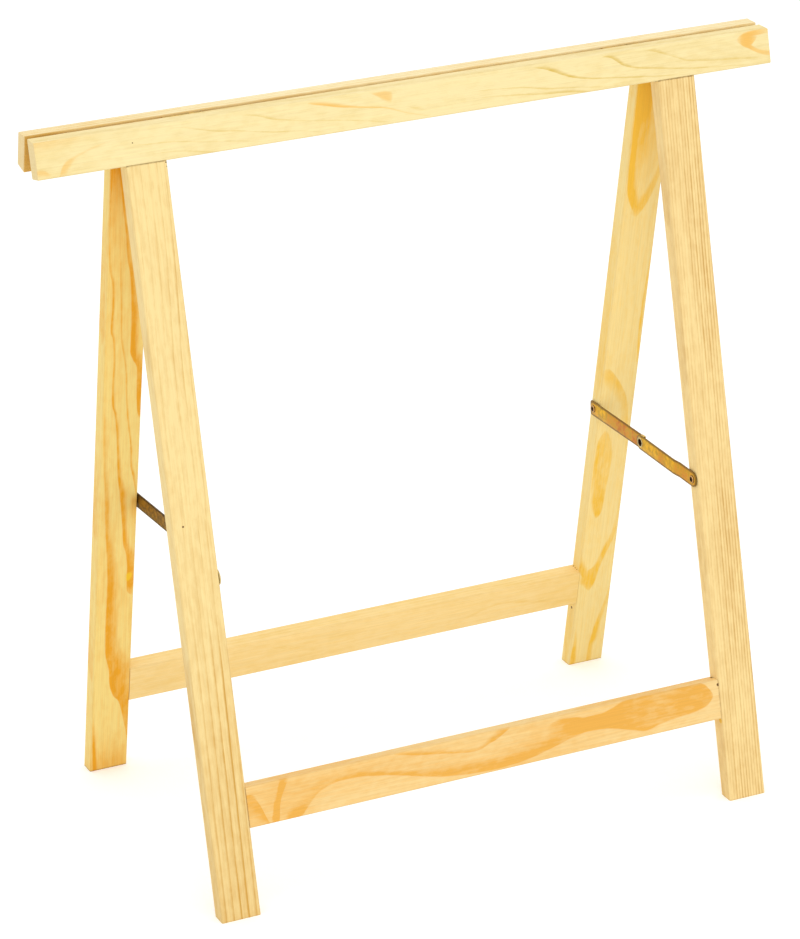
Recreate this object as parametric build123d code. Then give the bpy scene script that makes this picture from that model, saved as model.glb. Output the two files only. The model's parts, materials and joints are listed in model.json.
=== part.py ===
# Folding wooden sawhorse: two half frames of planed pine laths, hinged along the
# top and kept from spreading by a folding steel brace at each side.
#
# Row frame: X along the top rails, -Y the front, +Z up, origin on the ground under
# the middle. All sizes are in millimetres.
#
# A half frame is drawn folded, standing straight with the hinge axis on the X axis,
# and is then leaned outwards: the back one lies on +Y and the front one on -Y.
# The braces are drawn on the right-hand side, and the left one is mirrored.

from build123d import *
import os
from math import acos, cos, degrees, radians, sin, tan

# Timber. The rails' tops are planed level. The rail's height and the drops are measured
# along a half frame, from the level top straight above the hinge axis.
RAIL_LENGTH = 750.0
RAIL_HEIGHT = 38.0
STOCK_THICKNESS = 17.0
LEG_WIDTH = 39.5
LEG_INSET = 84.0
STRETCHER_HEIGHT = 40.0
STRETCHER_DROP = 629.0
ARRIS_RADIUS = 1.5

# Stance
TOTAL_HEIGHT = 731.0
LEAN_ANGLE = 12.6

# Dowels in the butt joints
DOWEL_RADIUS = 4.0
DOWEL_LENGTH = 32.0
DOWEL_SPACING = 20.0
DOWEL_CHAMFER = 0.8
DOWEL_FIT = 0.05
DOWEL_END_ROOM = 1.0

# Butt hinges between the rails
HINGE_LENGTH = 38.0
HINGE_LEAF_HEIGHT = 26.0
HINGE_LEAF_THICKNESS = 1.2
HINGE_LEAF_LIP = 1.2
HINGE_NOTCH_DEPTH = 2.7
KNUCKLE_RADIUS = 2.9
KNUCKLE_CLEARANCE = 0.5
KNUCKLE_END_PLAY = 0.3
HINGE_PIN_RADIUS = 1.4
HINGE_PIN_OVERHANG = 0.6
HINGE_AXIS_DROP = 3.5
HINGE_END_DISTANCE = 131.0
HINGE_SCREW_SPREAD = 26.0
HINGE_SCREW_ROW = 8.0
HINGE_SCREW_STAGGER = 10.0
RUNNING_FIT = 0.05

# Hinge screws, countersunk
HINGE_SCREW_RADIUS = 1.5
HINGE_SCREW_HEAD_RADIUS = 2.7
HINGE_SCREW_LENGTH = 13.0
HINGE_SCREW_RECESS_DEPTH = 0.8

# Folding braces
BRACE_DROP = 428.0
LINK_WIDTH = 15.5
LINK_THICKNESS = 1.2
LINK_GAP = 0.3
CRANK_DISTANCE = 69.0
RIGHT_BRACE_RISE = 0.6
LEFT_BRACE_RISE = 3.2
WASHER_RADIUS = 5.0
WASHER_THICKNESS = 0.6
AXIAL_PLAY = 0.2
BRACE_SCREW_RADIUS = 2.0
BRACE_SCREW_HEAD_RADIUS = 4.2
BRACE_SCREW_HEAD_HEIGHT = 2.5
BRACE_SCREW_CROWN_RATIO = 0.75
BRACE_SCREW_RECESS_DEPTH = 1.0
BRACE_SCREW_DEPTH = 18.0
EYELET_RADIUS = 4.0
EYELET_HOLE_RADIUS = 2.9
EYELET_FLANGE_RADIUS = 5.2
EYELET_FLANGE_THICKNESS = 0.6
STOP_LUG_START = 6.2
STOP_LUG_LENGTH = 4.0
STOP_LUG_GAP = 0.35

# Details that all the screws share
RECESS_SLOT_RATIO = 0.22
RECESS_SPAN_RATIO = 1.15
SCREW_POINT_RATIO = 0.6
SCREW_HOLE_FIT = 0.05
SCREW_TIP_ROOM = 0.5

# Worked out from the sizes above
lean = radians(LEAN_ANGLE)
inner_face = KNUCKLE_RADIUS + KNUCKLE_CLEARANCE
outer_face = inner_face + STOCK_THICKNESS
mid_face = inner_face + STOCK_THICKNESS / 2
axis_height = TOTAL_HEIGHT - HINGE_AXIS_DROP
leg_outer_x = RAIL_LENGTH / 2 - LEG_INSET
leg_inner_x = leg_outer_x - LEG_WIDTH
leg_middle_x = leg_outer_x - LEG_WIDTH / 2
hinge_x = RAIL_LENGTH / 2 - HINGE_END_DISTANCE - HINGE_LENGTH / 2
rail_top = HINGE_AXIS_DROP / cos(lean)
rail_bottom = rail_top - RAIL_HEIGHT
stretcher_top = rail_top - STRETCHER_DROP
stretcher_bottom = stretcher_top - STRETCHER_HEIGHT
brace_level = rail_top - BRACE_DROP

BACK = 1
FRONT = -1
SIDE_NAMES = {1: "right", -1: "left"}
HALF_NAMES = {BACK: "back", FRONT: "front"}
BRACE_RISE = {1: RIGHT_BRACE_RISE, -1: LEFT_BRACE_RISE}


# ---- helpers -------------------------------------------------------------------

def span_box(x_span, y_span, z_span):
    """A box between two corners, given as a pair of limits along each axis."""
    spans = (x_span, y_span, z_span)
    sizes = [abs(high - low) for low, high in spans]
    middles = [(low + high) / 2 for low, high in spans]
    return Pos(*middles) * Box(*sizes)


def rod_along_x(radius, x_span, y, z):
    """A round bar along X."""
    low, high = sorted(x_span)
    return Pos((low + high) / 2, y, z) * Rot(Y=90) * Cylinder(radius, high - low)


def leaned(shape, half):
    """Lean a piece of a folded half frame outwards and lift it to its real height."""
    return Pos(0, 0, axis_height) * Rot(X=half * LEAN_ANGLE) * shape


def eased(blank, long_axis):
    """A lath with its four long arrises eased."""
    return fillet(blank.edges().filter_by(long_axis), ARRIS_RADIUS)


def lath(x_span, half, z_span, long_axis):
    """A planed lath of a half frame."""
    return eased(span_box(x_span, (half * inner_face, half * outer_face), z_span), long_axis)


def one_solid(shape):
    """The single solid in a shape."""
    solids = shape.solids()
    if len(solids) != 1:
        raise ValueError(f"expected one solid and found {len(solids)}")
    return solids[0]


# ---- dowels --------------------------------------------------------------------

def dowel(along_x, x, y, z, grown=False):
    """A dowel about its middle, or with grown its bored hole."""
    radius = DOWEL_RADIUS + (DOWEL_FIT if grown else 0)
    length = DOWEL_LENGTH + (2 * DOWEL_END_ROOM if grown else 0)
    pin = Cylinder(radius, length)
    if not grown:
        pin = chamfer(pin.edges().filter_by(GeomType.CIRCLE), DOWEL_CHAMFER)
    turn = Rot(Y=90) if along_x else Rot()
    return Pos(x, y, z) * turn * pin


def rail_joint_dowels(side, half, grown=False):
    """The two dowels that stand between a leg's top and the rail."""
    centres = [side * leg_middle_x + step * DOWEL_SPACING / 2 for step in (-1, 1)]
    return [dowel(False, x, half * mid_face, rail_bottom, grown) for x in centres]


def stretcher_joint_dowels(side, half, grown=False):
    """The two dowels that lie between a leg's inner side and the stretcher's end."""
    middle = (stretcher_top + stretcher_bottom) / 2
    levels = [middle + step * DOWEL_SPACING / 2 for step in (-1, 1)]
    return [dowel(True, side * leg_inner_x, half * mid_face, z, grown) for z in levels]


# ---- hinges --------------------------------------------------------------------

def knuckle_spans(half):
    """X spans of a leaf's knuckles: two outer ones at the back, one between at the front."""
    knuckle = (HINGE_LENGTH - 2 * KNUCKLE_END_PLAY) / 3
    start = -HINGE_LENGTH / 2
    starts = [start + i * (knuckle + KNUCKLE_END_PLAY) for i in range(3)]
    own_starts = [starts[1]] if half == FRONT else [starts[0], starts[2]]
    return [(low, low + knuckle) for low in own_starts]


def hinge_screw_places():
    """X and Z of the three screws of a leaf, about the middle of the hinge."""
    upper = -HINGE_SCREW_ROW
    lower = upper - HINGE_SCREW_STAGGER
    return [(-HINGE_SCREW_SPREAD / 2, upper), (0, lower), (HINGE_SCREW_SPREAD / 2, upper)]


def hinge_leaf(half):
    """A leaf on its rail's inner face, with its knuckles round the hinge axis."""
    seat = half * inner_face
    open_face = half * (inner_face - HINGE_LEAF_THICKNESS)
    half_length = HINGE_LENGTH / 2
    leaf = span_box((-half_length, half_length), (open_face, seat), (-HINGE_LEAF_HEIGHT, HINGE_LEAF_LIP))
    for low, high in knuckle_spans(-half):
        leaf -= span_box(
            (low - KNUCKLE_END_PLAY, high + KNUCKLE_END_PLAY),
            (0, 2 * seat),
            (-HINGE_NOTCH_DEPTH, 2 * HINGE_LEAF_LIP),
        )
    for span in knuckle_spans(half):
        leaf += rod_along_x(KNUCKLE_RADIUS, span, 0, 0)
    leaf -= rod_along_x(HINGE_PIN_RADIUS + RUNNING_FIT, (-half_length, half_length), 0, 0)
    for x, z in hinge_screw_places():
        leaf -= hinge_screw(half, x, z, SCREW_HOLE_FIT)
    return one_solid(leaf)


def hinge_screw(half, x, z, fit=0.0):
    """A countersunk screw through a leaf into the rail, or with a fit its hole."""
    core_radius = HINGE_SCREW_RADIUS + fit
    core_length = HINGE_SCREW_LENGTH - HINGE_LEAF_THICKNESS + (SCREW_TIP_ROOM if fit else 0)
    head = Cone(core_radius, HINGE_SCREW_HEAD_RADIUS + fit, HINGE_LEAF_THICKNESS)
    core = Pos(0, 0, -(HINGE_LEAF_THICKNESS + core_length) / 2) * Cylinder(core_radius, core_length)
    screw = head + core
    if not fit:
        tip = screw.edges().filter_by(GeomType.CIRCLE).sort_by(Axis.Z)[0]
        screw = chamfer(tip, HINGE_SCREW_RADIUS * SCREW_POINT_RATIO)
        screw -= cross_recess(HINGE_SCREW_HEAD_RADIUS, HINGE_LEAF_THICKNESS / 2, HINGE_SCREW_RECESS_DEPTH)
    head_middle = inner_face - HINGE_LEAF_THICKNESS / 2
    return Pos(x, half * head_middle, z) * Rot(X=half * 90) * screw


def cross_recess(head_radius, top, depth):
    """A cross cut down into a head whose top lies at the given height."""
    slot = head_radius * RECESS_SLOT_RATIO
    span = head_radius * RECESS_SPAN_RATIO
    bar = Pos(0, 0, top - depth / 2) * Box(span, slot, depth)
    return bar + Rot(Z=90) * bar


def hinge_pin():
    """The pin through the three knuckles."""
    half_length = HINGE_LENGTH / 2 + HINGE_PIN_OVERHANG
    pin = rod_along_x(HINGE_PIN_RADIUS, (-half_length, half_length), 0, 0)
    return chamfer(pin.edges().filter_by(GeomType.CIRCLE), HINGE_PIN_OVERHANG / 2)


def hinge_screws(side, half):
    """The three screws of one leaf, in their places along the rail."""
    return [Pos(side * hinge_x, 0, 0) * hinge_screw(half, x, z) for x, z in hinge_screw_places()]


# ---- brace ---------------------------------------------------------------------
# Depths are measured from the leg's inner side towards the middle of the sawhorse.

back_link_depth = WASHER_THICKNESS + AXIAL_PLAY
front_link_depth = back_link_depth + LINK_THICKNESS + LINK_GAP
screw_head_depth = back_link_depth + LINK_THICKNESS + AXIAL_PLAY
brace_reach = 2 * (front_link_depth + LINK_THICKNESS)
link_half_width = LINK_WIDTH / 2


def in_world(y, z):
    """World Y and Z of a point that lies at y, z on the folded back half frame."""
    return y * cos(lean) - z * sin(lean), axis_height + y * sin(lean) + z * cos(lean)


brace_y, brace_z = in_world(mid_face, brace_level)


def disc(radius, depth_span, y, z):
    """A round piece along X between two depths."""
    return rod_along_x(radius, [leg_inner_x - depth for depth in depth_span], y, z)


def link_length(rise):
    """Distance between a link's two eyes."""
    return brace_y / cos(radians(rise))


def rivet_height(rise):
    """World height of the middle eyelet."""
    return brace_z + link_length(rise) * sin(radians(rise))


def link_plane(half, rise):
    """Plane of a link: X from its screw to the eyelet, Y across it, Z along the world's X."""
    angle = radians(rise)
    return Plane(
        origin=(leg_inner_x, half * brace_y, brace_z),
        x_dir=(0, -half * cos(angle), sin(angle)),
        z_dir=(-half, 0, 0),
    )


def stadium(length):
    """Outline of a link with two round ends, as a tall solid."""
    outline = Rectangle(length, LINK_WIDTH)
    outline += Pos(-length / 2, 0) * Circle(link_half_width)
    outline += Pos(length / 2, 0) * Circle(link_half_width)
    return Pos(length / 2, 0, 0) * extrude(outline, brace_reach, both=True)


def cranked_strip(length):
    """The front link's strip: flat at the screw, stepped inwards to pass the back link."""
    low = back_link_depth
    high = front_link_depth
    start = -LINK_WIDTH
    end = length + LINK_WIDTH
    step_end = length - CRANK_DISTANCE
    step_start = step_end - (high - low)
    corner = LINK_THICKNESS * tan(radians(22.5))
    points = [
        (start, low),
        (step_start + corner, low),
        (step_end + corner, high),
        (end, high),
        (end, high + LINK_THICKNESS),
        (step_end, high + LINK_THICKNESS),
        (step_start, low + LINK_THICKNESS),
        (start, low + LINK_THICKNESS),
    ]
    profile = make_face(Polyline(*points, close=True))
    return Rot(X=90) * extrude(profile, LINK_WIDTH, both=True)


def link_blank(half, length):
    """A link without holes, in its own plane, with depth along Z before it is placed."""
    if half == BACK:
        low = back_link_depth
        along = (-LINK_WIDTH, length + LINK_WIDTH)
        return stadium(length) & span_box(along, (-LINK_WIDTH, LINK_WIDTH), (low, low + LINK_THICKNESS))
    return mirror(stadium(length) & cranked_strip(length), about=Plane.XY)


def stop_lug(length):
    """The lug on the back link that is bent over the front link's upper edge."""
    start = length + STOP_LUG_START
    end = start + STOP_LUG_LENGTH
    under = link_half_width + STOP_LUG_GAP
    top = under + LINK_THICKNESS
    outline = make_face(Polyline((length, 0), (end, link_half_width), (end, top), (length, top), close=True))
    neck = Pos(0, 0, back_link_depth) * extrude(outline, LINK_THICKNESS)
    roof = span_box((start, end), (under, top), (back_link_depth, front_link_depth + LINK_THICKNESS))
    return neck + roof


def brace_link(half, rise):
    """One link of a brace, placed on the right-hand side."""
    length = link_length(rise)
    link = link_blank(half, length)
    if half == BACK:
        link += stop_lug(length)
    link -= Cylinder(BRACE_SCREW_RADIUS + RUNNING_FIT, 2 * brace_reach)
    link -= Pos(length, 0, 0) * Cylinder(EYELET_RADIUS + SCREW_HOLE_FIT, 2 * brace_reach)
    return one_solid(link_plane(half, rise) * link)


def eyelet_half(half, rise):
    """Half of the tubular rivet: the back half lies behind, the front half shows its flange."""
    z = rivet_height(rise)
    depth = back_link_depth if half == BACK else front_link_depth
    tube_span = (depth, depth + LINK_THICKNESS)
    if half == BACK:
        flange_span = (depth - EYELET_FLANGE_THICKNESS, depth)
    else:
        flange_span = (depth + LINK_THICKNESS, depth + LINK_THICKNESS + EYELET_FLANGE_THICKNESS)
    flange = disc(EYELET_FLANGE_RADIUS, flange_span, 0, z)
    outer_edges = flange.edges().filter_by(GeomType.CIRCLE).sort_by(Axis.X)
    outer_edge = outer_edges[-1] if half == BACK else outer_edges[0]
    flange = fillet(outer_edge, EYELET_FLANGE_THICKNESS / 2)
    whole = disc(EYELET_RADIUS, tube_span, 0, z) + flange
    return one_solid(whole - disc(EYELET_HOLE_RADIUS, (0, brace_reach), 0, z))


def brace_washer(half):
    """The thin washer that keeps a link clear of the leg."""
    ring = disc(WASHER_RADIUS, (0, WASHER_THICKNESS), half * brace_y, brace_z)
    return ring - disc(BRACE_SCREW_RADIUS + SCREW_HOLE_FIT, (0, WASHER_THICKNESS), half * brace_y, brace_z)


def brace_screw(half):
    """The round-headed wood screw that a link swings on."""
    y = half * brace_y
    head_top = screw_head_depth + BRACE_SCREW_HEAD_HEIGHT
    head = disc(BRACE_SCREW_HEAD_RADIUS, (screw_head_depth, head_top), y, brace_z)
    crown = head.edges().filter_by(GeomType.CIRCLE).sort_by(Axis.X)[0]
    head = fillet(crown, BRACE_SCREW_HEAD_HEIGHT * BRACE_SCREW_CROWN_RATIO)
    shank = disc(BRACE_SCREW_RADIUS, (-BRACE_SCREW_DEPTH, screw_head_depth), y, brace_z)
    tip = shank.edges().filter_by(GeomType.CIRCLE).sort_by(Axis.X)[-1]
    shank = chamfer(tip, BRACE_SCREW_RADIUS * SCREW_POINT_RATIO)
    recess = Rot(Z=45) * cross_recess(BRACE_SCREW_HEAD_RADIUS, 0, BRACE_SCREW_RECESS_DEPTH)
    return one_solid(head + shank - Pos(leg_inner_x - head_top, y, brace_z) * Rot(Y=-90) * recess)


def on_side(shape, side):
    """A piece drawn on the right, or mirrored to the left."""
    return shape if side > 0 else mirror(shape, about=Plane.YZ)


# ---- half frames ---------------------------------------------------------------

def rail_blank(half):
    """A top rail's bar, square below and planed level on top."""
    low = rail_bottom
    high = [rail_top - y * tan(lean) for y in (inner_face, outer_face)]
    corners = [(inner_face, low), (outer_face, low), (outer_face, high[1]), (inner_face, high[0])]
    section = Plane.YZ * make_face(Polyline(*[(half * y, z) for y, z in corners], close=True))
    return eased(extrude(section, RAIL_LENGTH / 2, both=True), Axis.X)


def rail(half):
    """A top rail, bored for the legs' dowels and the hinge screws."""
    bar = rail_blank(half)
    bar = fillet(bar.faces().sort_by(Axis.X)[0].edges(), ARRIS_RADIUS / 2)
    bar = fillet(bar.faces().sort_by(Axis.X)[-1].edges(), ARRIS_RADIUS / 2)
    for side in SIDE_NAMES:
        for hole in rail_joint_dowels(side, half, grown=True):
            bar -= hole
        for x, z in hinge_screw_places():
            bar -= Pos(side * hinge_x, 0, 0) * hinge_screw(half, x, z, SCREW_HOLE_FIT)
    return one_solid(leaned(bar, half))


def leg(side, half):
    """A leg from the rail's underside to the ground, its foot cut level."""
    reach = (axis_height + outer_face * sin(lean)) / cos(lean) + STOCK_THICKNESS
    ends = sorted((side * leg_inner_x, side * leg_outer_x))
    bar = lath(ends, half, (-reach, rail_bottom), Axis.Z)
    for hole in rail_joint_dowels(side, half, grown=True) + stretcher_joint_dowels(side, half, grown=True):
        bar -= hole
    bar = leaned(bar, half)
    bar -= span_box((-RAIL_LENGTH, RAIL_LENGTH), (-RAIL_LENGTH, RAIL_LENGTH), (-RAIL_LENGTH, 0))
    bore_depth = BRACE_SCREW_DEPTH + SCREW_TIP_ROOM
    bore = disc(BRACE_SCREW_RADIUS + SCREW_HOLE_FIT, (-bore_depth, 0), half * brace_y, brace_z)
    return one_solid(bar - on_side(bore, side))


def stretcher(half):
    """The lower bar between the legs."""
    bar = lath((-leg_inner_x, leg_inner_x), half, (stretcher_bottom, stretcher_top), Axis.X)
    for side in SIDE_NAMES:
        for hole in stretcher_joint_dowels(side, half, grown=True):
            bar -= hole
    return one_solid(leaned(bar, half))


# ---- the whole sawhorse --------------------------------------------------------

def half_frame_parts(half):
    """Every piece that is fixed to one half frame."""
    name = HALF_NAMES[half]
    parts = {f"{name}_top_rail": rail(half), f"{name}_stretcher": stretcher(half)}
    for side, side_name in SIDE_NAMES.items():
        place = f"{name}_{side_name}"
        parts[f"{place}_leg"] = leg(side, half)
        top_dowels = [leaned(pin, half) for pin in rail_joint_dowels(side, half)]
        low_dowels = [leaned(pin, half) for pin in stretcher_joint_dowels(side, half)]
        screws = [leaned(screw, half) for screw in hinge_screws(side, half)]
        parts[f"{place}_rail_dowels"] = Compound(children=top_dowels)
        parts[f"{place}_stretcher_dowels"] = Compound(children=low_dowels)
        leaf = Pos(side * hinge_x, 0, 0) * hinge_leaf(half)
        parts[f"{side_name}_hinge_{name}_leaf"] = leaned(leaf, half)
        parts[f"{side_name}_hinge_{name}_screws"] = Compound(children=screws)
        parts[f"{side_name}_brace_{name}_screw"] = on_side(brace_screw(half), side)
        parts[f"{side_name}_brace_{name}_washer"] = on_side(brace_washer(half), side)
    return parts


def brace_parts(side):
    """The swinging pieces of one brace."""
    rise = BRACE_RISE[side]
    name = SIDE_NAMES[side]
    return {
        f"{name}_brace_back_link": on_side(brace_link(BACK, rise), side),
        f"{name}_brace_front_link": on_side(brace_link(FRONT, rise), side),
        f"{name}_brace_eyelet_back": on_side(eyelet_half(BACK, rise), side),
        f"{name}_brace_eyelet_front": on_side(eyelet_half(FRONT, rise), side),
    }


def folded_rise():
    """Angle of a folded link above the half frame's square line."""
    return {side: degrees(acos(mid_face / link_length(BRACE_RISE[side]))) for side in SIDE_NAMES}


def main():
    """Build every piece and write it to its own file."""
    os.makedirs("parts", exist_ok=True)
    parts = half_frame_parts(BACK) | half_frame_parts(FRONT)
    for side, name in SIDE_NAMES.items():
        parts[f"{name}_hinge_pin"] = leaned(Pos(side * hinge_x, 0, 0) * hinge_pin(), BACK)
        parts |= brace_parts(side)
    for name, shape in parts.items():
        export_step(shape, f"parts/{name}.step")
    print(len(parts), "nodes")
    print("hinge axis: y 0, z", round(axis_height, 4))
    print("brace screws: y", round(brace_y, 4), "z", round(brace_z, 4), "x", round(leg_inner_x, 4))
    for side, name in SIDE_NAMES.items():
        turn = folded_rise()[side] - BRACE_RISE[side] - LEAN_ANGLE
        print(name, "link turns", round(turn, 4), "degrees, ratio", round(turn / (2 * LEAN_ANGLE), 6))


main()
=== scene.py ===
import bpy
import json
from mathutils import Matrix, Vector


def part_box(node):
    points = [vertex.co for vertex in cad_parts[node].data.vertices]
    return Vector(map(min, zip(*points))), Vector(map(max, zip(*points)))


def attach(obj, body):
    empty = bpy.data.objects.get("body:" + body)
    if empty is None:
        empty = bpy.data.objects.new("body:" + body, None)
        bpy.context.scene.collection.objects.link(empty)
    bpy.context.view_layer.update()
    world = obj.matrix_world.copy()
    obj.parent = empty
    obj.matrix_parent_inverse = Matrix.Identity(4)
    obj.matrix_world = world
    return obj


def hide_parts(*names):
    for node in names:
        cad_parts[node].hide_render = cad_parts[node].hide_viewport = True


bl_info = {
    "name": "Folding Sawhorse",
    "version": (1, 0, 0),
    "blender": (4, 5, 0),
    "location": "3D View > Sidebar > Sawhorse",
    "description": "Finishes a folding pine sawhorse round its packed frame, with a studio stage",
    "category": "Object",
}

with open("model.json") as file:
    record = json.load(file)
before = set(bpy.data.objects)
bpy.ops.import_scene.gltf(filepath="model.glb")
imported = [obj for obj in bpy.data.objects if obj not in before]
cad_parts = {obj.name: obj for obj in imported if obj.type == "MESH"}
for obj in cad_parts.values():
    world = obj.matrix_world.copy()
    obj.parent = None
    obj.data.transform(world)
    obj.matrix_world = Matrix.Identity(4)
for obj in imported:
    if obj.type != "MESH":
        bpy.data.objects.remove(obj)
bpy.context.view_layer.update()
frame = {"nodes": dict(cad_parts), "record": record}

import json
from contextlib import contextmanager
from functools import reduce
from math import cos, pi, radians, sin

import bmesh
import bpy
from bpy.props import FloatProperty, FloatVectorProperty, PointerProperty
from mathutils import Matrix, Vector

MM = 0.001
SIDES = ("left", "right")
HALVES = ("front", "back")
BRACE_ARMS = [(side, half) for side in SIDES for half in HALVES]
JOINTS = {joint["name"]: joint for joint in frame["record"]["behaviour"]["joints"]}
LEAN = radians(JOINTS["fold"]["range_deg"][1]) / 2
LEG_INNER = JOINTS["right_back_link_swing"]["pos_m"][0]    # from the middle to a leg's inner side


# ---- settings ----

def colour(name, description, value):
    """A colour setting."""
    return FloatVectorProperty(name=name, description=description, default=value,
                               subtype="COLOR", size=3, min=0, max=1)


def measure(name, description, value, least=0.0):
    """A length setting in metres."""
    return FloatProperty(name=name, description=description, default=value,
                         unit="LENGTH", min=least, precision=4)


def angle(name, description, degrees):
    """An angle setting."""
    return FloatProperty(name=name, description=description, default=radians(degrees),
                         subtype="ANGLE")


def srgb(red, green, blue):
    """A linear colour from the usual 0 to 255 numbers."""
    def linear(channel):
        channel /= 255
        return channel / 12.92 if channel <= 0.04045 else ((channel + 0.055) / 1.055) ** 2.4
    return tuple(linear(channel) for channel in (red, green, blue))


class SawhorseTimber(bpy.types.PropertyGroup):
    """Colours and grain of the timber, apart from each board's own look."""
    arris: colour("Arris", "Long edges, darkened by hands", srgb(176, 150, 104))
    joint: colour("Joint line", "Dark line where two boards meet", srgb(136, 98, 44))
    foot: colour("Foot", "Dirt round the feet", srgb(140, 100, 44))
    stain: colour("Stain", "Yellow stains", srgb(236, 190, 70))
    mark: colour("Mark", "Small dark marks", srgb(104, 68, 22))
    dowel: colour("Dowel", "Turned beech", srgb(205, 165, 110))
    fibre_length: measure("Fibre length", "Length of the fine streaks along the grain", 0.05, 0.001)


class SawhorseSteel(bpy.types.PropertyGroup):
    """Colours, wear and painted shade of the steel, and sizes of the braces."""
    plate: colour("Plate", "Yellow passivated zinc", srgb(238, 184, 26))
    bloom: colour("Bloom", "Rosy patches in the plate", srgb(206, 124, 34))
    # The brown is real tarnish in the specks; round the links' rims it is tarnish with painted
    # shade, and under the screw heads, on the links' leg sides and round the bores it is painted
    # shade.
    tarnish_and_shade: colour("Tarnish", "Brown film along the edges", srgb(112, 84, 34))
    # Painted shade: near-black in the bores and the screws' cross recesses, on the links' leg sides
    # and along the left links' upper edges.
    dirt: colour("Dirt", "Near-black dirt in the bores and recesses", srgb(46, 20, 6))
    rivet: colour("Rivet", "Plate of the eyelets and washers", srgb(226, 204, 138))
    screw: colour("Screw", "Plate of the brace screws", srgb(236, 184, 116))
    hinge: colour("Hinge", "Dull yellow zinc of the hinges", srgb(206, 166, 84))
    link_width: measure("Link width", "Width of a brace link", 0.0155)
    link_thickness: measure("Link thickness", "Thickness of a brace link", 0.0012)
    crank_start: measure("Crank start", "From the eyelet to the front link's crank", 0.069)
    crank_run: measure("Crank run", "Length of the crank's slope", 0.010)
    lug_start: measure("Lug start", "From the eyelet to the stop lug", 0.0008)
    lug_length: measure("Lug length", "Length of the stop lug", 0.0062)
    screw_hole: measure("Screw hole", "Radius of a link's hole for its screw", 0.00205)
    eyelet_hole: measure("Eyelet hole", "Radius of a link's hole for the eyelet", 0.00405)
    eyelet_bore: measure("Eyelet bore", "Inner radius of the eyelet", 0.0035)
    screw_head: measure("Screw head", "Radius of a brace screw's head", 0.0034)
    screw_crown: measure("Screw crown", "Height of a brace screw's head", 0.0014)


class SawhorseStage(bpy.types.PropertyGroup):
    """Camera and floor."""
    azimuth: angle("Azimuth", "Camera's turn to the left of the front", 24.335)
    elevation: angle("Elevation", "Camera's height above the horizon", 22.727)
    roll: angle("Roll", "Camera's tilt", -1.301)
    distance: measure("Distance", "From the camera to its target", 3.8041, 0.1)
    target: FloatVectorProperty(
        name="Target", description="Point that the camera looks at",
        default=(-0.01504, 0.0, 0.33902), size=3, subtype="TRANSLATION", unit="LENGTH")
    focal_length: FloatProperty(
        name="Focal length", description="Lens of the camera in millimetres", default=150.70, min=1)
    floor: colour("Floor", "Pale floor", (0.93, 0.93, 0.92))


# ---- shader helpers ----

def has_parts(value):
    """Whether a value is a vector or a colour, not one number."""
    return value.socket.type != "VALUE" if isinstance(value, Wire) else isinstance(value, tuple)


def reckon(operation, swapped=False):
    """A method that puts a wire and what follows it through a sum."""
    def method(self, *others):
        return self.build.math(operation, *((*others, self) if swapped else (self, *others)))
    return method


class Wire:
    """One output of a node, reckoned with as a number or vector. A name gives another output.

    Of two masks, a | b is the greater."""
    __add__ = reckon("ADD")
    __sub__ = reckon("SUBTRACT")
    __rsub__ = reckon("SUBTRACT", swapped=True)
    __truediv__ = reckon("DIVIDE")
    __rtruediv__ = reckon("DIVIDE", swapped=True)
    __abs__ = reckon("ABSOLUTE")
    __or__ = reckon("MAXIMUM")

    def __init__(self, build, node, output=0):
        self.build, self.node, self.socket = build, node, node.outputs[output]

    def __getitem__(self, output):
        return Wire(self.build, self.node, output)

    def __mul__(self, other):
        if has_parts(self) and not has_parts(other):
            return self.build.node("VectorMath", self, None, None, other, operation="SCALE")
        return self.build.math("MULTIPLY", self, other)

    def ramp(self, start, slope, clamp=False):
        """A straight line over the value."""
        return self.build.math("MULTIPLY_ADD", self, slope, start, clamp=clamp)

    def rise(self, low, high, to_low=0.0, to_high=1.0):
        """A smooth step over the value, from nothing to one or between two amounts."""
        return self.build.node("MapRange", self, low, high, to_low, to_high,
                               interpolation_type="SMOOTHSTEP")

    def fall(self, low, high, full=1.0):
        """A smooth step down to nothing."""
        return self.rise(low, high, full, 0.0)


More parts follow.
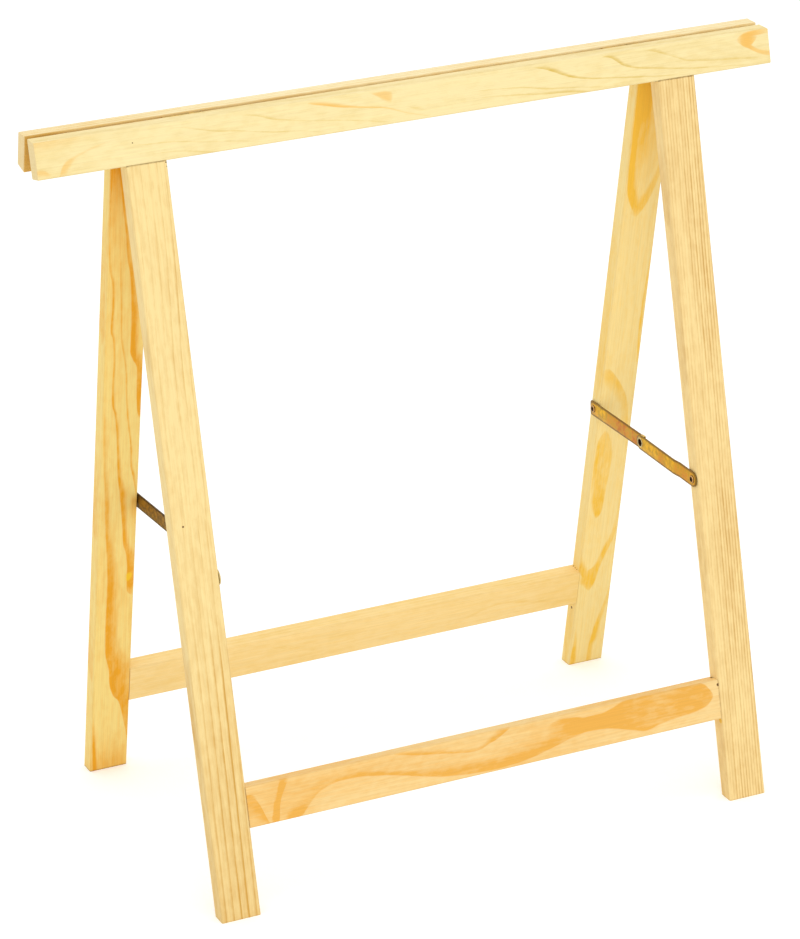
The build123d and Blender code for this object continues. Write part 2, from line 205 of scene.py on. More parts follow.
class Tree:
    """Short calls for adding nodes to a node tree and joining them."""

    def __init__(self, tree):
        self.tree = tree

    def node(self, kind, *inputs, **settings):
        """A new node's first output. Settings are attributes; inputs are set or linked in order."""
        node = self.tree.nodes.new("ShaderNode" + kind)
        for name, value in settings.items():
            setattr(node, name, value)
        for socket, value in zip(node.inputs, inputs):
            self.put(socket, value)
        return Wire(self, node)

    def put(self, socket, value):
        """Link a socket, or set its default."""
        if value is None:
            return
        if isinstance(value, Wire):
            self.tree.links.new(value.socket, socket)
        elif socket.type == "RGBA" and len(value) == 3:
            socket.default_value = (*value, 1)
        else:
            socket.default_value = value

    def math(self, operation, *inputs, clamp=False):
        """A sum of numbers, or of vectors where the first input is one."""
        if has_parts(inputs[0]):
            return self.node("VectorMath", *inputs, operation=operation)
        return self.node("Math", *inputs, operation=operation, use_clamp=clamp)

    def split(self, vector):
        """A vector's X, Y and Z."""
        return self.node("SeparateXYZ", vector)

    def radius(self, across, up):
        """How far a point is from an axis."""
        return self.math("SQRT", across * across + up * up)

    def mix(self, factor, low, high, blend="MIX"):
        """Two colours mixed."""
        node = self.tree.nodes.new("ShaderNodeMix")
        node.data_type = "RGBA"
        node.blend_type = blend
        for place, value in ((0, factor), (6, low), (7, high)):      # the sockets for colours
            self.put(node.inputs[place], value)
        return Wire(self, node, 2)

    def shade(self, tone, amount):
        """A colour made darker or paler."""
        return self.mix(1.0, tone, amount, "MULTIPLY")

    def noise(self, vector, detail=2.0, roughness=0.5, scale=1.0):
        return self.node("TexNoise", vector, None, scale, detail, roughness)

    def group(self, tree, inputs):
        """A shader group in its place, with its inputs by name."""
        placed = self.node("Group", node_tree=tree)
        for label, value in inputs.items():
            self.put(placed.node.inputs[label], value)
        return placed

    def bump(self, height, strength):
        """The normal of a fine relief."""
        placed = self.node("Bump")
        for label, value in (("Strength", strength), ("Distance", 0.0001), ("Height", height)):
            self.put(placed.node.inputs[label], value)
        return placed


def new_material(name):
    """A material with its tree and its shader's inputs."""
    material = bpy.data.materials.new(name)
    material.use_nodes = True
    build = Tree(material.node_tree)
    return material, build, material.node_tree.nodes["Principled BSDF"].inputs


def shader_group(name, inputs, outputs):
    """Turn a function that works out a group's outputs into one that gives the built group."""
    def wrap(fill):
        def group():
            if name in bpy.data.node_groups:
                return bpy.data.node_groups[name]
            tree = bpy.data.node_groups.new(name, "ShaderNodeTree")
            for way, sockets in (("INPUT", inputs), ("OUTPUT", outputs)):
                for label, kind in sockets.items():
                    tree.interface.new_socket(label, in_out=way, socket_type="NodeSocket" + kind)
            build = Tree(tree)
            given = Wire(build, tree.nodes.new("NodeGroupInput"))
            sink = tree.nodes.new("NodeGroupOutput").inputs
            for label, value in zip(outputs, fill(build, given)):
                build.put(sink[label], value)
            return tree
        return group
    return wrap


# ---- timber ----

STOCK = 0.017                   # thickness of the boards
FIGURE_REACH = 30               # furthest that a grain figure goes from a board's middle, in mm
NOISE_SPAN = (0.3, 0.7)         # where most of a noise's values lie
FACE_SPAN = (5.5, 8.0)          # from a board's middle to its face, where figures come in, in mm
ARRIS_SPAN = (0.0003, 0.0016)   # from an arris, how far its wear is full and how far it shows
JOINT_SPAN = (0.5, 1.2)         # the same for the dark line at a joint, in mm
FOOT_SPAN = (0.3, 1.8)          # the same for the dirt at a foot, in mm
MARK_SPAN = (0.6, 1.1)          # the same for a mark, as shares of its radius


@shader_group("Growth rings", {
    "Board": "Vector", "Pith across": "Float", "Pith depth": "Float", "Ring width": "Float",
    "Late from": "Float", "Late full": "Float", "Wander": "Vector", "Seed": "Float",
}, {"Latewood": "Float", "Ring number": "Float", "Swung": "Vector"})
def growth_rings(build, given):
    """Latewood from growth rings round a pith line that wanders along the board."""
    long_swing, short_swing = (
        (build.noise(given["Board"] * spread + given["Seed"], 1.0)["Color"] - (0.5, 0.5, 0.5))
        * given["Wander"] * share
        for spread, share in (((7.0, 30.0, 30.0), 2.0), ((26.0, 90.0, 90.0), 1.0)))
    swung = given["Board"] + (long_swing + short_swing)
    place = build.split(swung)
    away = build.radius(place["Y"] - given["Pith across"], place["Z"] - given["Pith depth"])
    rings = away / given["Ring width"]
    phase = build.math("FRACT", rings)
    late = phase.rise(given["Late from"], given["Late full"]) * phase.fall(0.95, 1.0)
    return late, build.math("FLOOR", rings), swung


@shader_group("Grain figure", {
    "Edges": "Vector", "Across": "Float", "Crispness": "Float", "Fade": "Float",
}, {"Mask": "Float"})
def grain_figure(build, given):
    """One figure of the grain, crisp at one edge and fading towards the other."""
    edges = build.split(given["Edges"])
    crisp = edges["X"] * FIGURE_REACH
    span = edges["Y"] * FIGURE_REACH - crisp
    inside = (given["Across"] - crisp) * build.math("SIGN", span)
    share = inside / (abs(span) | 0.01)
    mask = inside.rise(0.0, given["Crispness"]) * share.fall(1.0 - given["Fade"], 1.0)
    return (mask * edges["Z"],)


@shader_group("Wood fibre", {"Board": "Vector", "Length": "Float", "Seed": "Float"}, {
    "Streaks": "Float", "Clouds": "Float", "Threads": "Float", "Mottle": "Float"})
def wood_fibre(build, given):
    """Fine streaks and soft shading along the grain."""
    streaks = build.node("CombineXYZ", 1.0 / given["Length"], 1400.0, 1400.0)
    clouds, threads, mottle = (9.0, 60.0, 60.0), (16.0, 420.0, 420.0), (75.0, 170.0, 170.0)
    return [
        build.noise(given["Board"] * spread + given["Seed"], detail, roughness)
        for spread, detail, roughness in (
            (streaks, 3.0, 0.6), (clouds, 2.0, 0.5), (threads, 2.0, 0.6), (mottle, 3.0, 0.6))]


@shader_group("Board edges", {
    "Board": "Vector", "Facing": "Vector", "Half width": "Float", "Half thickness": "Float",
}, {"Arris": "Float", "End": "Float"})
def board_edges(build, given):
    """Masks for a board's long arrises and its sawn ends."""
    place = build.split(abs(given["Board"]))
    near = abs(given["Half width"] - place["Y"]) + abs(given["Half thickness"] - place["Z"])
    facing = build.split(abs(given["Facing"]))["X"]
    return near.fall(*ARRIS_SPAN), facing.rise(0.6, 0.9)


def board_frame(node):
    """Middle and turn of a board, its two ends and its half width.

    X runs along the board, Y across it and Z out of its outer face."""
    low, high = (Vector(corner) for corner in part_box(node))
    middle = (low + high) / 2
    half = 1 if middle.y > 0 else -1
    outward = Vector((0, half * cos(LEAN), sin(LEAN)))
    if node.endswith("leg"):
        along = Vector((0, -half * sin(LEAN), cos(LEAN)))
    else:
        along = Vector((-half, 0, 0))
    turn = Matrix((along, outward.cross(along), outward)).transposed()
    corners = [turn.inverted() @ (corner.co - middle)
               for corner in frame["nodes"][node].data.vertices]
    ends, sides, faces = [(min(corner[axis] for corner in corners),
                           max(corner[axis] for corner in corners)) for axis in range(3)]
    middle += turn @ Vector((0, sum(sides) / 2, sum(faces) / 2))
    return middle, turn.to_euler(), ends, (sides[1] - sides[0]) / 2


def hand_curve(build, position, points, label, straight=False):
    """A value that follows given points, each a position and a value."""
    first, last = points[0][0], points[-1][0]
    values = [value for _, value in points]
    low = min(values)
    spread = max(max(values) - low, 1e-6)
    share = position.ramp(-first / (last - first), 1 / (last - first), clamp=True)
    curved = build.node("FloatCurve", 1.0, share, label=label)
    curve = curved.node.mapping.curves[0]
    while len(curve.points) < len(points):
        curve.points.new(0.5, 0.5)
    for point, (place, value) in zip(curve.points, points):
        point.location = ((place - first) / (last - first), (value - low) / spread)
        point.handle_type = "VECTOR" if straight else "AUTO_CLAMPED"
    curved.node.mapping.update()
    return curved.ramp(low, spread)


def draw_figures(build, along, across, figures):
    """Mask of a board's figures, which are as LOOKS has them."""
    masks = []
    for crispness, fade, *rows in figures:
        first, last = rows[0][0], rows[-1][0]
        share = build.node("MapRange", along, first, last, -1.0, 1.0)
        edges = build.node("VectorCurve", 1.0, share)
        for column, curve in enumerate(edges.node.mapping.curves, start=1):
            full = 100 if column == 3 else FIGURE_REACH
            while len(curve.points) < len(rows):
                curve.points.new(0, 0)
            for point, row in zip(curve.points, rows):
                point.location = (2 * (row[0] - first) / (last - first) - 1, row[column] / full)
                point.handle_type = "AUTO_CLAMPED"
        edges.node.mapping.update()
        masks.append(build.group(grain_figure(), {
            "Edges": edges, "Across": across, "Crispness": crispness, "Fade": fade}))
    return reduce(Wire.__or__, masks)


def near_points(board, points):
    """Mask of small round marks at points of a board, in millimetres, each with its radius."""
    masks = []
    for x, y, z, radius in points:
        away = board.build.math("LENGTH", board - (x * MM, y * MM, z * MM))["Value"]
        masks.append(away.fall(*(radius * MM * share for share in MARK_SPAN)))
    return reduce(Wire.__or__, masks)


def joint_mask(board, along, joints, ends):
    """Mask of the dark line at a board's butted ends, broken up along the joint."""
    broken = board.build.noise(board * 260.0).rise(0.35, 0.6, 0.45, 1.0)
    masks = []
    for end, strength in joints:
        away = abs(along - ends[1 if end > 0 else 0] / MM)
        masks.append(away.fall(*JOINT_SPAN) * (broken * strength))
    return reduce(Wire.__or__, masks)


def drift(noise, amount):
    """A noise as a drift of up to an amount either way."""
    return noise.rise(*NOISE_SPAN, -amount, amount)


def grain_colour(build, look, along, deep, rings, fibre):
    """A board's wood between its pale and its dark colour, with the figures of its one face."""
    late = rings["Latewood"] * hand_curve(
        build, rings["Ring number"], look["rings"], "Ring strengths", straight=True)
    late *= hand_curve(build, along, look["fade"], "Fade along")
    late *= fibre["Clouds"].rise(0.35, 0.65, 0.7, 1.2)
    warm = hand_curve(build, along, look["warm"], "Warmth along")
    shown = (deep * (look["face"] / MM)).rise(*FACE_SPAN)
    across = build.split(rings["Swung"])["Y"] * (1 / MM)
    if look["figures"]:
        figures = draw_figures(build, along, across, look["figures"])
        late = build.node("Mix", shown, None, late, figures)
        warm = build.node("Mix", shown, None, 0.08, warm)
    warm += fibre["Clouds"].ramp(-look["clouds"] / 2, look["clouds"])
    warm += drift(fibre["Threads"], look["threads"])
    warm += drift(fibre["Mottle"], look["mottle"])
    late *= fibre["Mottle"].rise(*NOISE_SPAN, 0.88, 1.08)
    tint = build.math("ADD", late, warm, clamp=True)
    wood = build.mix(tint, srgb(*look["pale"]), srgb(*look["dark"]))
    if look["accents"]:
        accents = shown * draw_figures(build, along, across, look["accents"])
        wood = build.mix(accents, wood, srgb(*look["accent"]))
    return build.shade(wood, fibre["Streaks"].rise(*NOISE_SPAN, 0.945, 1.02))


def pine_material(node, look):
    """Planed pine for one board, its grain set by the look."""
    timber = bpy.context.scene.sawhorse_timber
    middle, turn, ends, half_width = board_frame(node)
    material, build, shader = new_material("pine_" + node)
    place = build.node("TexCoord")
    board = build.node("Mapping", place["Object"], middle, turn, vector_type="TEXTURE")
    facing = build.node("Mapping", place["Normal"], (0, 0, 0), turn, vector_type="TEXTURE")
    axes = build.split(board)
    along = axes["X"] * (1 / MM)
    depth = [(x, look["face"] * (STOCK / 2 / MM - away)) for x, away in look["depth"]]
    wander_across, wander_depth = look["wander"]
    rings = build.group(growth_rings(), {
        "Board": board, "Seed": look["seed"],
        "Pith across": hand_curve(build, along, look["across"], "Pith across") * MM,
        "Pith depth": hand_curve(build, along, depth, "Pith depth") * MM,
        "Ring width": look["ring"] * MM, "Late from": look["late"][0], "Late full": look["late"][1],
        "Wander": (0, wander_across * MM, wander_depth * MM)})
    fibre = build.group(wood_fibre(), {
        "Board": board, "Length": timber.fibre_length, "Seed": look["seed"]})
    edges = build.group(board_edges(), {
        "Board": board, "Facing": facing, "Half width": half_width, "Half thickness": STOCK / 2})

    wood = grain_colour(build, look, along, axes["Z"], rings, fibre)
    sawn = build.mix(0.6, wood, srgb(*look["end"]))
    wood = build.mix(edges["End"], wood, sawn)
    wood = build.mix(edges["Arris"] * look["rim"], wood, timber.arris[:])
    if look["joints"]:
        wood = build.mix(joint_mask(board, along, look["joints"], ends), wood, timber.joint[:])
    if node.endswith("leg"):
        height = build.split(place["Object"])["Z"] * (1 / MM)
        wood = build.mix(height.fall(*FOOT_SPAN, look["foot"]), wood, timber.foot[:])
    for points, tone in ((look["stains"], timber.stain), (look["marks"], timber.mark)):
        if points:
            wood = build.mix(near_points(board, points), wood, tone[:])

    build.put(shader["Base Color"], wood)
    build.put(shader["Roughness"], fibre["Streaks"].ramp(0.48, 0.18) + edges["End"] * 0.2)
    shader["Specular IOR Level"].default_value = 0.25
    build.put(shader["Normal"], build.bump(rings["Latewood"].ramp(fibre["Streaks"], 0.5), 0.3))
    return material


def flat(value):
    """Points for one value all along."""
    return (-1, value), (1, value)


# A board's look. Colours are in 0 to 255 numbers, lengths in millimetres in the board's own frame.
# "face" is 1 for figures on its outer face and -1 for its inner one. "across", "depth", "fade" and
# "warm" are points along the board, with the pith's place and depth, the rings' strength and the
# wood's warmth, which near the tops of the back legs is painted shade under the rails; "rings" are
# points with a ring's number and strength. "joints" are an end and a strength, "marks" and "stains"
# a point and a radius. "figures" are in the dark colour and "accents" in the accent colour: a
# crispness, a fade, and rows with a place along the board, the crisp edge, the faded edge and the
# strength in per cent. On the back rail the accents are painted shade in the gap between the rails.
PLAIN = dict(
    face=1, pale=(251, 226, 160), dark=(236, 190, 110), accent=(247, 190, 88), end=(232, 212, 164),
    seed=1, ring=4, late=(0.35, 0.85), wander=(1.2, 0.15), clouds=0.3, threads=0.1, mottle=0.1,
    rim=0.2, foot=0.15, across=flat(0), depth=((-355, 200), (355, 202)), rings=flat(1),
    fade=flat(1), warm=flat(0.1), joints=(), marks=(), stains=(), figures=(), accents=(),
)
LOOKS = {}

LOOKS["front_top_rail"] = dict(
    PLAIN, pale=(251, 231, 171), dark=(222, 186, 82), end=(240, 214, 160), seed=1.3, ring=3.5,
    late=(0.45, 0.93), wander=(0.4, 0.2), threads=0.05, across=((-375, 100), (375, 92)),
    depth=flat(8), rings=flat(0.25), warm=((-375, 0.2), (-330, 0.13), (-250, 0.05), (100, 0.05),
    (250, 0.12), (375, 0.12)), marks=((-282.2, 2, 8.5, 0.7),),
)
LOOKS["front_top_rail"]["figures"] = (
    (0.9, 0.7, (-262, 11, 12, 0), (-235, 8, 10, 21), (-215, 3, 5.5, 31), (-200, -0.5, 2, 39),
     (-180, -3, -1, 39), (-162, -6.5, -4.5, 39), (-145, -9.5, -7, 44), (-120, -12, -10, 31),
     (-98, -16, -14.5, 28), (-85, -18, -17, 0)),
    (0.9, 0.7, (-290, -0.5, 0.5, 0), (-270, -2, 0, 26), (-240, -4, -2, 30), (-215, -8, -6, 22),
     (-190, -11, -9, 22), (-165, -15, -13, 18), (-150, -18, -17, 0)),
    (0.9, 0.7, (-275, -11, -10, 0), (-250, -12, -10, 28), (-228, -14.5, -12, 28),
     (-212, -18, -15, 35), (-200, -19, -18, 0)),
    (0.9, 0.8, (-176, 11, 12, 0), (-165, 9, 12, 44), (-155, 6, 10.5, 44), (-145, 2.5, 6, 39),
     (-132, 0, 2, 35), (-110, -4, -2.5, 35), (-80, -8, -6, 35), (-55, -12, -10, 31),
     (-35, -16, -14, 26), (-25, -18, -17, 0)),
    (3, 0.6, (-12, -3, -4, 0), (-4, -4, -9, 25), (6, -7, -12, 18), (14, -10, -12, 0)),
    (0.8, 0.7, (50, -1, 0, 0), (70, -2, -0.2, 31), (92, -3.5, -1.5, 39), (112, -5.5, -3, 39),
     (132, -9.5, -6.5, 44), (160, -12.5, -10, 35), (190, -16, -14, 21), (205, -18, -17, 0)),
    (0.8, 0.7, (50, -8, -7, 0), (75, -9, -7, 30), (100, -11, -8.5, 35), (130, -14, -11, 44),
     (155, -16, -12, 74), (168, -17.5, -14, 61), (182, -19, -17, 0)),
    (1, 0.85, (122, 12, 13, 0), (132, 9.5, 14, 74), (142, 5.5, 11.5, 79), (152, 1, 6.5, 79),
     (163, -3, 1, 79), (180, -6.5, -3.8, 70), (200, -9, -6.5, 62), (222, -11.5, -9, 60),
     (245, -14, -11.5, 53), (270, -16, -14, 35), (295, -18, -17, 0)),
    (0.9, 0.85, (194, 12, 13, 0), (202, 10.5, 14, 66), (210, 5.5, 12, 60), (218, 0, 5, 60),
     (232, -4, -1, 60), (252, -7, -4.2, 53), (272, -10, -7.5, 47), (292, -12.5, -10, 44),
     (315, -14.5, -12, 35), (345, -17, -15, 26), (362, -18, -17, 0)),
    (0.9, 0.85, (240, 12, 13, 0), (250, 9.5, 14, 45), (262, 5, 9, 35), (274, 0, 4, 35),
     (286, -4.5, -1.5, 35), (298, -6, -2.5, 35), (315, -8, -4, 35), (340, -10, -6.5, 35),
     (362, -12, -9, 18), (372, -12, -11, 0)),
)
LOOKS["front_top_rail"]["accents"] = (
    (4, 0.8, (-377, 22, 0, 40), (-350, 22, 3, 32), (-320, 22, 9, 18), (-285, 22, 14, 0)),
    (3, 0.6, (-355, -17, -20, 0), (-350, -7, -20, 56), (-345, -3, -15, 49), (-338, 0, -6, 35),
     (-325, 4, 0, 31), (-312, 7, 3.5, 28), (-295, 8.5, 7, 0)),
    (3, 0.5, (-376, -8, -16, 49), (-368, -9, -17, 49), (-361, -15, -18, 0)),
    (1, 0.85, (-110, 12, 13, 0), (-103, 10, 14, 70), (-92, 7.5, 13, 84), (-80, 4.5, 10, 84),
     (-62, 1.5, 4.5, 84), (-45, -1.2, 1.2, 84), (-32, -3.5, -1, 70), (-22, -7, -4.5, 53),
     (-10, -11.5, -9, 36), (2, -15, -12, 28), (14, -18, -16, 0)),
    (2.5, 0.4, (-46, 14, 12, 0), (-40, 14, 8.5, 56), (-33, 14, 3, 59), (-27, 13, 0, 53),
     (-23, 12, 5, 0)),
    (1.6, 0.15, (341, 8, 9, 0), (345, 3.5, 13, 70), (350, 0.5, 15, 90), (355, 1, 14.5, 85),
     (359, 4, 13, 60), (363, 8, 12, 0)),
    (1.6, 0.35, (339, 9, 8, 0), (343, 5, 13, 50), (347, 4, 15, 85), (352, 7.5, 16, 90),
     (358, 9, 16.5, 85), (366, 9.5, 17, 60), (373, 10, 17, 30), (377, 10, 17, 20)),
    (1.6, 0.35, (339, 7, 8, 0), (343, 3.5, 9, 50), (347, 0.5, 10, 85), (352, -2, 7, 85),
     (357, -5, 1.5, 70), (363, -8, -2.5, 60), (370, -10.5, -4.5, 55), (377, -12, -5.5, 50)),
)

# The back rail's accent colour is painted shade: amber on its inner face in the narrow gap between
# the rails.
LOOKS["back_top_rail"] = dict(
    PLAIN, face=-1, pale=(255, 238, 188), dark=(238, 196, 112), accent=(208, 154, 40),
    end=(240, 214, 160), seed=4.1, ring=5, late=(0.3, 0.8), depth=((-375, 199), (375, 199.2)),
    rings=flat(0.35), warm=((-375, 0.1), (250, 0.1), (330, 0.3), (375, 0.3)),
)
# Painted shade in the rail gap, weak along most of the rail and strongest at its left end.
LOOKS["back_top_rail"]["accents"] = (
    (0.5, 0.05, (60, -28, 28, 0), (140, -28, 28, 30), (330, -28, 28, 35), (355, -28, 28, 80),
     (376, -28, 28, 80)),
)

LOOKS["front_stretcher"] = dict(
    PLAIN, pale=(249, 214, 146), dark=(240, 178, 76), seed=7.7, late=(0.3, 0.75),
    wander=(0.4, 0.12), clouds=0.5, mottle=0.12, across=((-252, 100), (252, 94)), depth=flat(8),
    rings=flat(0.3), warm=((-252, 0.46), (-215, 0.48), (-190, 0.38), (-150, 0.2), (0, 0.22),
    (60, 0.28), (200, 0.12), (252, 0.05)), joints=((1, 0.35), (-1, 0.12)),
    marks=((250.8, 20, -2.5, 2.3), (251, 14.9, 8.5, 1.8)),
)
LOOKS["front_stretcher"]["figures"] = (
    (2, 0.6, (-253, 13, 3, 60), (-246, 12, 3, 60), (-241, 8, 4, 0)),
    (1.5, 0.9, (-253, 12, -22, 35), (-247.5, 11, -22, 50), (-242.4, 6.7, -24, 60),
     (-237.5, -3.1, -27, 60), (-233, -14.9, -30, 60), (-229, -22, -30, 0)),
    (1.5, 0.4, (-230, -20, -18, 0), (-227, -21, -6, 60), (-225, -21, 2, 75), (-222, -20, 9, 85),
     (-219, -4, 16, 85), (-216, 4, 22, 75), (-212, 11, 22, 50), (-208, 18, 22, 0)),
    (1.5, 0.8, (-216, -20, -16, 0), (-208, -21, -5, 65), (-200, -20, -2, 85), (-194, -15, 1, 55),
     (-186, -7, 3, 40), (-175, 0.5, 9, 50), (-160, 4.5, 13, 60), (-145, 5, 14, 75),
     (-120, 2, 10.5, 85), (-100, -2, 6.5, 80), (-80, -7, 4, 75), (-60, -12, 3, 80),
     (-40, -15.5, 1, 80), (-20, -17.5, -1, 85), (0, -18.5, -2, 85), (20, -18, -1, 85),
     (40, -16, 2, 80), (60, -12, 8, 75), (75, -8.5, 14, 70), (90, -5, 16, 40), (100, -4, 14, 0)),
    (1, 0.8, (-106, 20, 21, 0), (-90, 16, 21, 50), (-75, 12.5, 18.5, 65), (-60, 10, 15.5, 65),
     (-45, 7.5, 13, 70), (-30, 5, 11, 70), (-18, 3.5, 9.5, 65), (-8, 4.5, 10, 55), (0, 7.5, 15, 65),
     (8, 10, 20, 80), (16, 14, 22, 75), (25, 19, 22, 0)),
    (1.8, 0.1, (62, 3, 12, 0), (78, -2, 17, 55), (92, -3.5, 16, 90), (105, -3, 13.5, 100),
     (120, -3.5, 13.5, 100), (132, -5.5, 16, 95), (145, -9, 21, 85), (158, -13, 25, 75),
     (168, -15, 27, 70), (180, -13, 27, 60), (195, -10.5, 27, 65), (210, -9, 27, 85),
     (225, -7.5, 25, 92), (235, -5, 20, 92), (241, -1, 13, 85), (245, 4, 6, 0)),
    (2, 0.9, (-200, -10, 8, 0), (-185, -4, 22, 28), (-160, 5, 30, 34), (-120, 2, 30, 34),
     (-80, -6, 26, 32), (-40, -14, 18, 32), (0, -18, 12, 30), (40, -15, 16, 30), (70, -10, 20, 0)),
    (1.8, 0.8, (140, -8, -4, 0), (155, -12, -3, 95), (168, -15, -5, 100), (182, -12.5, -6, 85),
     (200, -10, -8, 0)),
)

LOOKS["back_stretcher"] = dict(
    PLAIN, face=-1, pale=(255, 223, 153), dark=(240, 194, 84), seed=2.9, wander=(0.5, 0.15),
    clouds=0.45, depth=((-252, 101.5), (252, 102.5)), rings=flat(0.15),
    warm=((-252, 0.35), (-215, 0.25), (-160, 0.1), (252, 0.12)), marks=((-251, 20, 4.8, 0.9),
    (-251.3, 20, 1.4, 0.8), (-251.6, 20, -2, 0.9)),
)
LOOKS["back_stretcher"]["figures"] = (
    (2.5, 0.8, (-245, -14, -12, 0), (-225, -12, -6, 22), (-200, -7, -1, 28), (-175, -2, 4, 30),
     (-160, 0, 5, 30), (-145, -3, 3, 25), (-125, -9, -3, 20), (-105, -14, -9, 0)),
    (3, 0.8, (30, -14, -10, 0), (60, -6, 2, 14), (90, 4, 12, 16), (120, 12, 18, 10),
     (140, 18, 20, 0)),
)

LOOKS["front_left_leg"] = dict(
    PLAIN, pale=(251, 224, 156), dark=(214, 163, 74), seed=3.3, ring=7.7, late=(0.62, 0.96),
    wander=(0.7, 0.5), across=((-355, 98.5), (-340, 98.3), (-250, 97.3), (-120, 95.3), (0, 93.8),
    (60, 90.3), (100, 89.8), (160, 89.3), (200, 87.3), (250, 84.3), (300, 82.8), (355, 82.3)),
    depth=flat(8), rings=((8, 0.35), (10, 0.45), (12, 0.8), (13, 1), (14, 0.45), (16, 0.45)),
    fade=((-355, 1), (-150, 0.8), (-90, 0.45), (0, 0.25), (120, 0.35), (200, 0.55), (355, 0.5)),
    warm=((-355, 0.38), (-250, 0.34), (-150, 0.2), (0, 0.1), (355, 0.06)), joints=((1, 0.5),),
    marks=((20.5, 9, 8.5, 1.1), (354.5, -18.6, 8.5, 0.9), (350.5, -19.2, 8.5, 0.8)),
)

LOOKS["front_right_leg"] = dict(
    PLAIN, pale=(252, 222, 154), dark=(208, 158, 78), seed=9.1, ring=3.1, late=(0.35, 0.9),
    wander=(0.5, 0.3), across=((-355, 100), (0, 95), (355, 88)), depth=flat(8), rings=((20, 0.2),
    (26, 0.3), (27, 0.15), (28, 0.5), (29, 0.3), (30, 0.75), (31, 0.45), (32, 0.8), (34, 0.5),
    (40, 0.8)), fade=((-355, 0.9), (0, 0.75), (200, 0.9), (355, 0.9)),
    warm=((-355, 0.1), (355, 0.12)), joints=((1, 0.65),),
    stains=((-277.6, 19.75, 5, 3.2), (-272, 19.75, 3, 2.4)),
)

# Its warmth rises near the top, where the amber on its inner face is painted shade under the rails.
LOOKS["back_left_leg"] = dict(
    PLAIN, face=-1, pale=(252, 223, 136), dark=(241, 168, 30), accent=(252, 206, 40), seed=5.2,
    ring=6, late=(0.4, 0.9), wander=(0.5, 1), foot=0.55, across=((-355, 104), (0, 92), (355, 84)),
    depth=flat(8), rings=flat(0.35), warm=((-356, 0.55), (-345, 0.45), (-330, 0.28), (-312, 0.12),
    (-290, 0.06), (-110, 0.16), (60, 0.08), (240, 0.2), (300, 0.4), (330, 0.65), (346, 0.9)),
)
LOOKS["back_left_leg"]["figures"] = (
    (1.3, 0.75, (-328, 18.5, 20, 0), (-315, 17, 24, 65), (-300, 14, 26, 75), (-285, 11, 28, 85),
     (-273, 7.5, 30, 90), (-264, 1.5, 30, 95), (-247, -3, 30, 95), (-232, -4, 29, 90),
     (-222, -6, 24, 85), (-212, -8, 17, 80), (-200, -9, 11, 80), (-175, -9.4, 7, 85),
     (-150, -9, 6.5, 85), (-120, -9, 5.5, 80), (-100, -10, 2.5, 70), (-80, -11.5, -2, 65),
     (-60, -13, -5, 65), (-20, -15, -8, 60), (20, -17.5, -11.5, 50), (60, -18.5, -14, 40),
     (88, -18.7, -17, 0)),
    (1.2, 0.75, (-144, 19, 20, 0), (-136, 12, 22, 75), (-122, 11.5, 26, 95), (-104, 11, 26, 85),
     (-92, 9.5, 22, 75), (-78, 6, 15, 80), (-60, 4.5, 11.5, 85), (-40, 2.5, 11, 85),
     (-20, 0.5, 10, 85), (0, -2.2, 4.5, 85), (30, -4, 1, 85), (60, -6, -1.5, 80),
     (75, -8, -3.5, 75), (86, -10.6, -6.5, 75), (105, -11.3, -7.5, 70), (130, -10.8, -7, 65),
     (158, -12, -8, 65), (172, -14.8, -10.5, 70), (200, -14, -10, 70), (222, -15, -10.5, 65),
     (236, -18, -14, 50), (255, -19.3, -16.5, 50), (300, -19.5, -17.5, 45), (346, -19.7, -17, 60)),
    (1, 0.75, (-28, 18, 19, 0), (0, 13, 17.5, 80), (12, 10.5, 14.5, 80), (30, 10, 13.5, 78),
     (60, 6.2, 9.5, 72), (90, 3.2, 6.5, 66), (120, 1.8, 5, 62), (140, -1, 2.5, 55),
     (158, -4, -0.5, 50), (190, -5.3, -2, 45), (240, -8, -4.5, 35), (285, -10, -8, 0)),
    (1.2, 0.75, (64, 18, 20, 0), (76, 15, 24, 85), (100, 13.7, 24, 90), (122, 13.2, 24, 85),
     (134, 8.5, 23, 85), (145, 5.5, 18, 90), (172, 5.7, 16.5, 95), (200, 4.8, 14, 90),
     (225, 3, 11, 80), (250, -1, 6, 75), (275, -3, 1, 70), (300, -6.5, -3, 65), (346, -12, -8, 60)),
    (1, 0.7, (-357, -17, -11, 80), (-335, -18, -12.5, 80), (-310, -19, -14.5, 60),
     (-280, -19.5, -18, 0)),
    # Partly painted shadow under the brace link and partly dirt: a yellow-brown patch at the leg's
    # edge.
    (3, 0.6, (-52, 21, 12, 0), (-44, 22, 10, 35), (-32, 22, 9, 40), (-24, 21, 13, 0)),
)
LOOKS["back_left_leg"]["accents"] = (
    (2.5, 0.35, (-127, 13, 13.2, 0), (-123, 10, 17, 80), (-118, 10, 19, 85), (-114, 13, 16, 0)),
)

